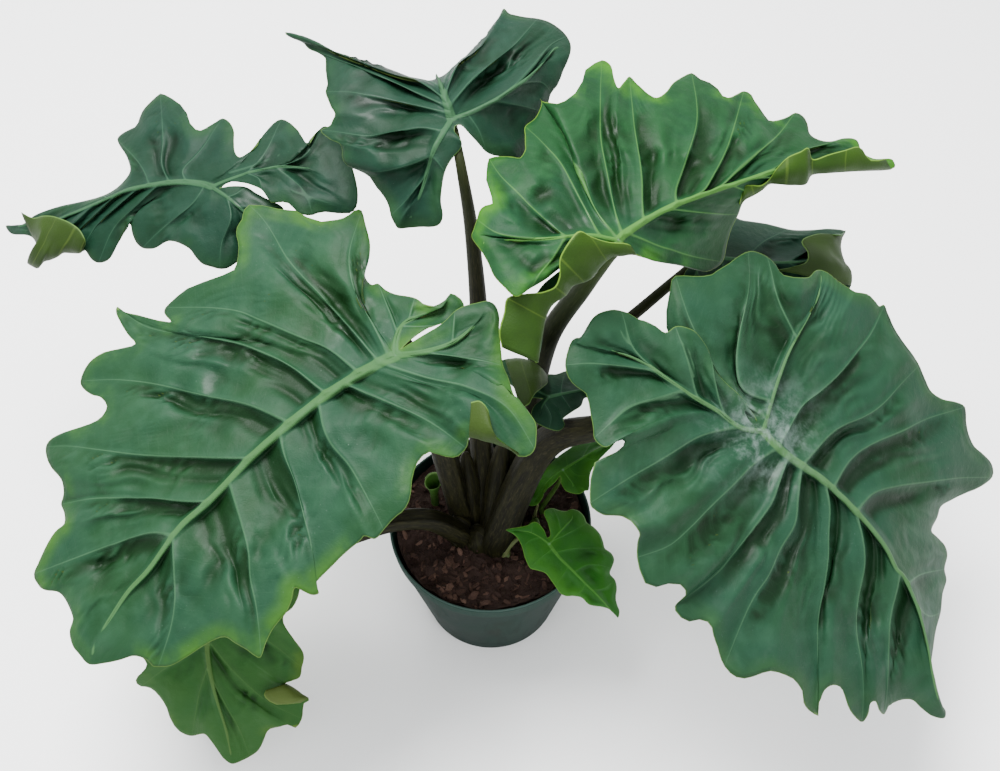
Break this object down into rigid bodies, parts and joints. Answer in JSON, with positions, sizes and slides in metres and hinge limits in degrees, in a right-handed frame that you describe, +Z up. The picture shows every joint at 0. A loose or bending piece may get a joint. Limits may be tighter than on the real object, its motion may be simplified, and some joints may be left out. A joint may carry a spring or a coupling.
{
  "type": "potted low rider alocasia",
  "caption": "Leafy houseplant with large wavy arrow-shaped blades on thick low stalks, standing in bark mix in a round tapered nursery pot.",
  "frame": {"origin": "middle of the pot's underside, where it rests on the floor", "axes": "+Z up out of the pot, the side the plant is seen from faces -Y"},
  "size_m": [1.2676, 0.7472, 0.6531],
  "materials": {
    "pot": "satin moulded",
    "soil": "damp bark mix",
    "petiole": "waxy, dark and streaked",
    "blade": "waxy leaf, glossy above",
    "pup": "waxy young leaf"
  },
  "bodies": {
    "root": {"pot": "pot", "soil": "soil", "petiole_front_left": "petiole", "petiole_front_right": "petiole", "petiole_top": "petiole", "petiole_upper_left": "petiole", "petiole_upper_right": "petiole", "petiole_back_right": "petiole", "petiole_low_left": "petiole", "petiole_centre": "petiole", "petiole_pup_right": "pup", "petiole_pup_front": "pup", "sprout": "pup", "blade_front_left": "blade", "blade_front_right": "blade", "blade_top": "blade", "blade_upper_left": "blade", "blade_upper_right": "blade", "blade_back_right": "blade", "blade_low_left": "blade", "blade_centre": "blade", "blade_pup_right": "pup", "blade_pup_front": "pup"}
  },
  "joints": []
}
